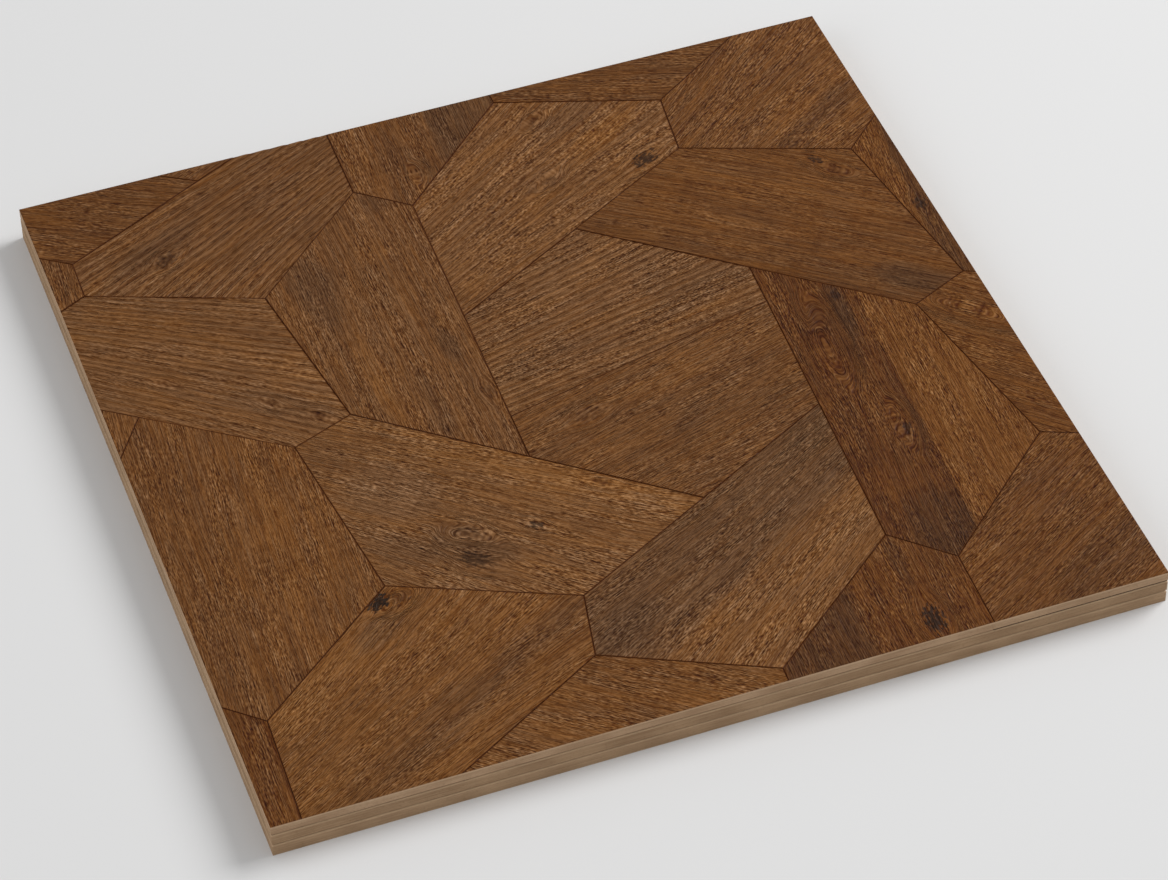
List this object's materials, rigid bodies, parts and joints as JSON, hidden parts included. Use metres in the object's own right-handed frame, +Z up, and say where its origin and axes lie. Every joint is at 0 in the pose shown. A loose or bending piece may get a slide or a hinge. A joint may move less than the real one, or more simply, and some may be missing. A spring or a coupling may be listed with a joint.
{
  "type": "parquet floor panel",
  "caption": "Square layered parquet floor panel whose brushed, dark stained oak blocks form a pinwheel rosette cut off at the panel's edges, for laying edge to edge on a level floor.",
  "frame": {"origin": "middle of the panel's underside", "axes": "+Z up out of the walking face, +X and +Y along the panel's edges, +Y towards the edge that the two slivers and the corner they leave lie nearest to"},
  "size_m": [0.45, 0.45, 0.02],
  "materials": {
    "face_oak": "brushed, stained, satin oil",
    "core_wood": "raw sawn",
    "backing_wood": "raw sawn"
  },
  "bodies": {
    "root": {"centre_block_upper": "face_oak", "centre_block_lower": "face_oak", "ring_block_1": "face_oak", "ring_block_2": "face_oak", "ring_block_3": "face_oak", "ring_block_4": "face_oak", "ring_block_5": "face_oak", "ring_block_6": "face_oak", "edge_block_01": "face_oak", "edge_block_02": "face_oak", "edge_block_03": "face_oak", "edge_block_04": "face_oak", "edge_block_05": "face_oak", "edge_block_06": "face_oak", "edge_block_07": "face_oak", "edge_block_08": "face_oak", "edge_block_09": "face_oak", "edge_block_10": "face_oak", "edge_block_11": "face_oak", "edge_block_12": "face_oak", "edge_block_13": "face_oak", "edge_block_14": "face_oak", "edge_block_15": "face_oak", "edge_block_16": "face_oak", "edge_block_17": "face_oak", "core_layer": "core_wood", "backing_layer": "backing_wood"}
  },
  "joints": []
}
